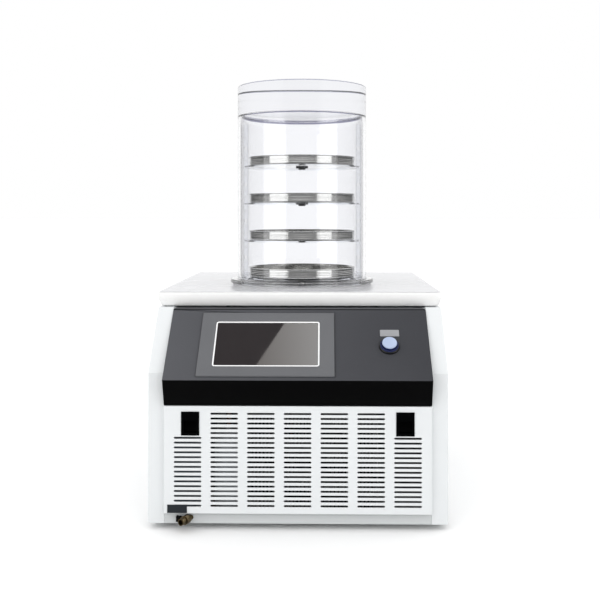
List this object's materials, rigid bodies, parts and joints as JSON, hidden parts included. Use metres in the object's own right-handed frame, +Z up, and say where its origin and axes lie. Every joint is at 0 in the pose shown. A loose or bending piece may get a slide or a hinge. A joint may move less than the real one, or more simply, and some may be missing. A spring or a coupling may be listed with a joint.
{
  "type": "freeze dryer",
  "caption": "Benchtop freeze dryer: white cabinet with sloping touch-screen console and ventilated tilting door, clear drying bell with stacked trays over a cold trap.",
  "frame": {"origin": "middle of the footprint's bounding box, on the surface the feet stand on", "axes": "+X to the right seen from the console, +Y backwards, +Z up along the bell's axis"},
  "size_m": [0.464, 0.6318, 0.7125],
  "materials": {
    "white_enamel": "satin",
    "deck_enamel": "gloss",
    "door_enamel": "satin",
    "zinc_steel": "zinc plated",
    "black_rubber": "matte",
    "screw_steel": "satin",
    "console_black": "satin",
    "bezel_grey": "satin",
    "trim_white": "gloss",
    "screen_glass": "gloss",
    "black_plastic": "matte",
    "button_ring_black": "gloss",
    "button_blue": "gloss",
    "plate_grey": "satin",
    "pull_black": "satin",
    "label_slate": "satin",
    "valve_brass": "cast",
    "pipe_copper": "drawn",
    "stainless": "brushed",
    "tray_steel": "polished",
    "hub_steel": "turned",
    "foam_jacket": "closed-cell foam",
    "clear_acrylic": "polished clear",
    "compressor_black": "satin",
    "fin_aluminium": "plain",
    "dryer_enamel": "satin",
    "box_grey": "satin",
    "board_green": "satin"
  },
  "bodies": {
    "cabinet": {"base_pan": "white_enamel", "bell_gasket": "black_rubber", "button_nameplate": "plate_grey", "button_ring": "button_ring_black", "button_switch": "black_plastic", "compressor": "compressor_black", "compressor_mounts": "black_rubber", "condenser_end_plates": "zinc_steel", "condenser_fins": "fin_aluminium", "condenser_tubes": "pipe_copper", "console": "console_black", "control_board": "board_green", "control_box": "box_grey", "display_bezel": "bezel_grey", "display_glass": "screen_glass", "display_module": "black_plastic", "display_trim": "trim_white", "door_catches": "black_plastic", "door_hinges": "zinc_steel", "drain_pipe": "pipe_copper", "drain_valve_body": "valve_brass", "drying_bell": "clear_acrylic", "evaporator_coil": "pipe_copper", "fan_bracket": "zinc_steel", "fan_motor": "compressor_black", "fan_shroud": "zinc_steel", "filter_dryer": "dryer_enamel", "front_rail": "zinc_steel", "left_side_panel": "white_enamel", "power_inlet": "black_plastic", "rack_foot": "stainless", "rack_uprights": "clear_acrylic", "rear_panel": "white_enamel", "rear_screws": "screw_steel", "refrigerant_lines": "pipe_copper", "right_side_panel": "white_enamel", "rubber_feet": "black_rubber", "shelf_1": "clear_acrylic", "shelf_2": "clear_acrylic", "shelf_3": "clear_acrylic", "shelf_4": "clear_acrylic", "top_plate": "deck_enamel", "trap_foam": "foam_jacket", "trap_well": "stainless", "tray_1": "tray_steel", "tray_2": "tray_steel", "tray_3": "tray_steel", "tray_4": "tray_steel", "tray_hubs": "hub_steel", "upper_rail": "white_enamel", "vacuum_pipe": "stainless", "vacuum_port": "stainless"},
    "door": {"door": "door_enamel", "left_pull": "pull_black", "right_pull": "pull_black", "door_label": "label_slate"},
    "button": {"button_cap": "button_blue"},
    "fan": {"fan_rotor": "black_plastic"},
    "drain_knob": {"drain_valve_knob": "pull_black"},
    "rocker": {"power_rocker": "pull_black"}
  },
  "joints": [
    {"name": "door_tilt", "type": "hinge", "parent": "cabinet", "child": "door", "pos_m": [0, -0.29362, 0.0316], "axis": [1, 0, 0], "range_deg": [0, 35]},
    {"name": "button_press", "type": "slide", "parent": "cabinet", "child": "button", "axis": [0, 0.6724, -0.7402], "range_m": [0, 0.003], "stiffness_N_per_m": 400, "springref_m": -0.001},
    {"name": "fan_spin", "type": "hinge", "parent": "cabinet", "child": "fan", "pos_m": [0.021, -0.18912, 0.0845], "axis": [0, 1, 0], "continuous": true},
    {"name": "drain_turn", "type": "hinge", "parent": "cabinet", "child": "drain_knob", "pos_m": [-0.17777, -0.29906, 0.019], "axis": [-0.9063, 0.4226, 0], "range_deg": [0, 90]},
    {"name": "power_rock", "type": "hinge", "parent": "cabinet", "child": "rocker", "pos_m": [-0.15, 0.28008, 0.082], "axis": [1, 0, 0], "range_deg": [0, 14]}
  ]
}
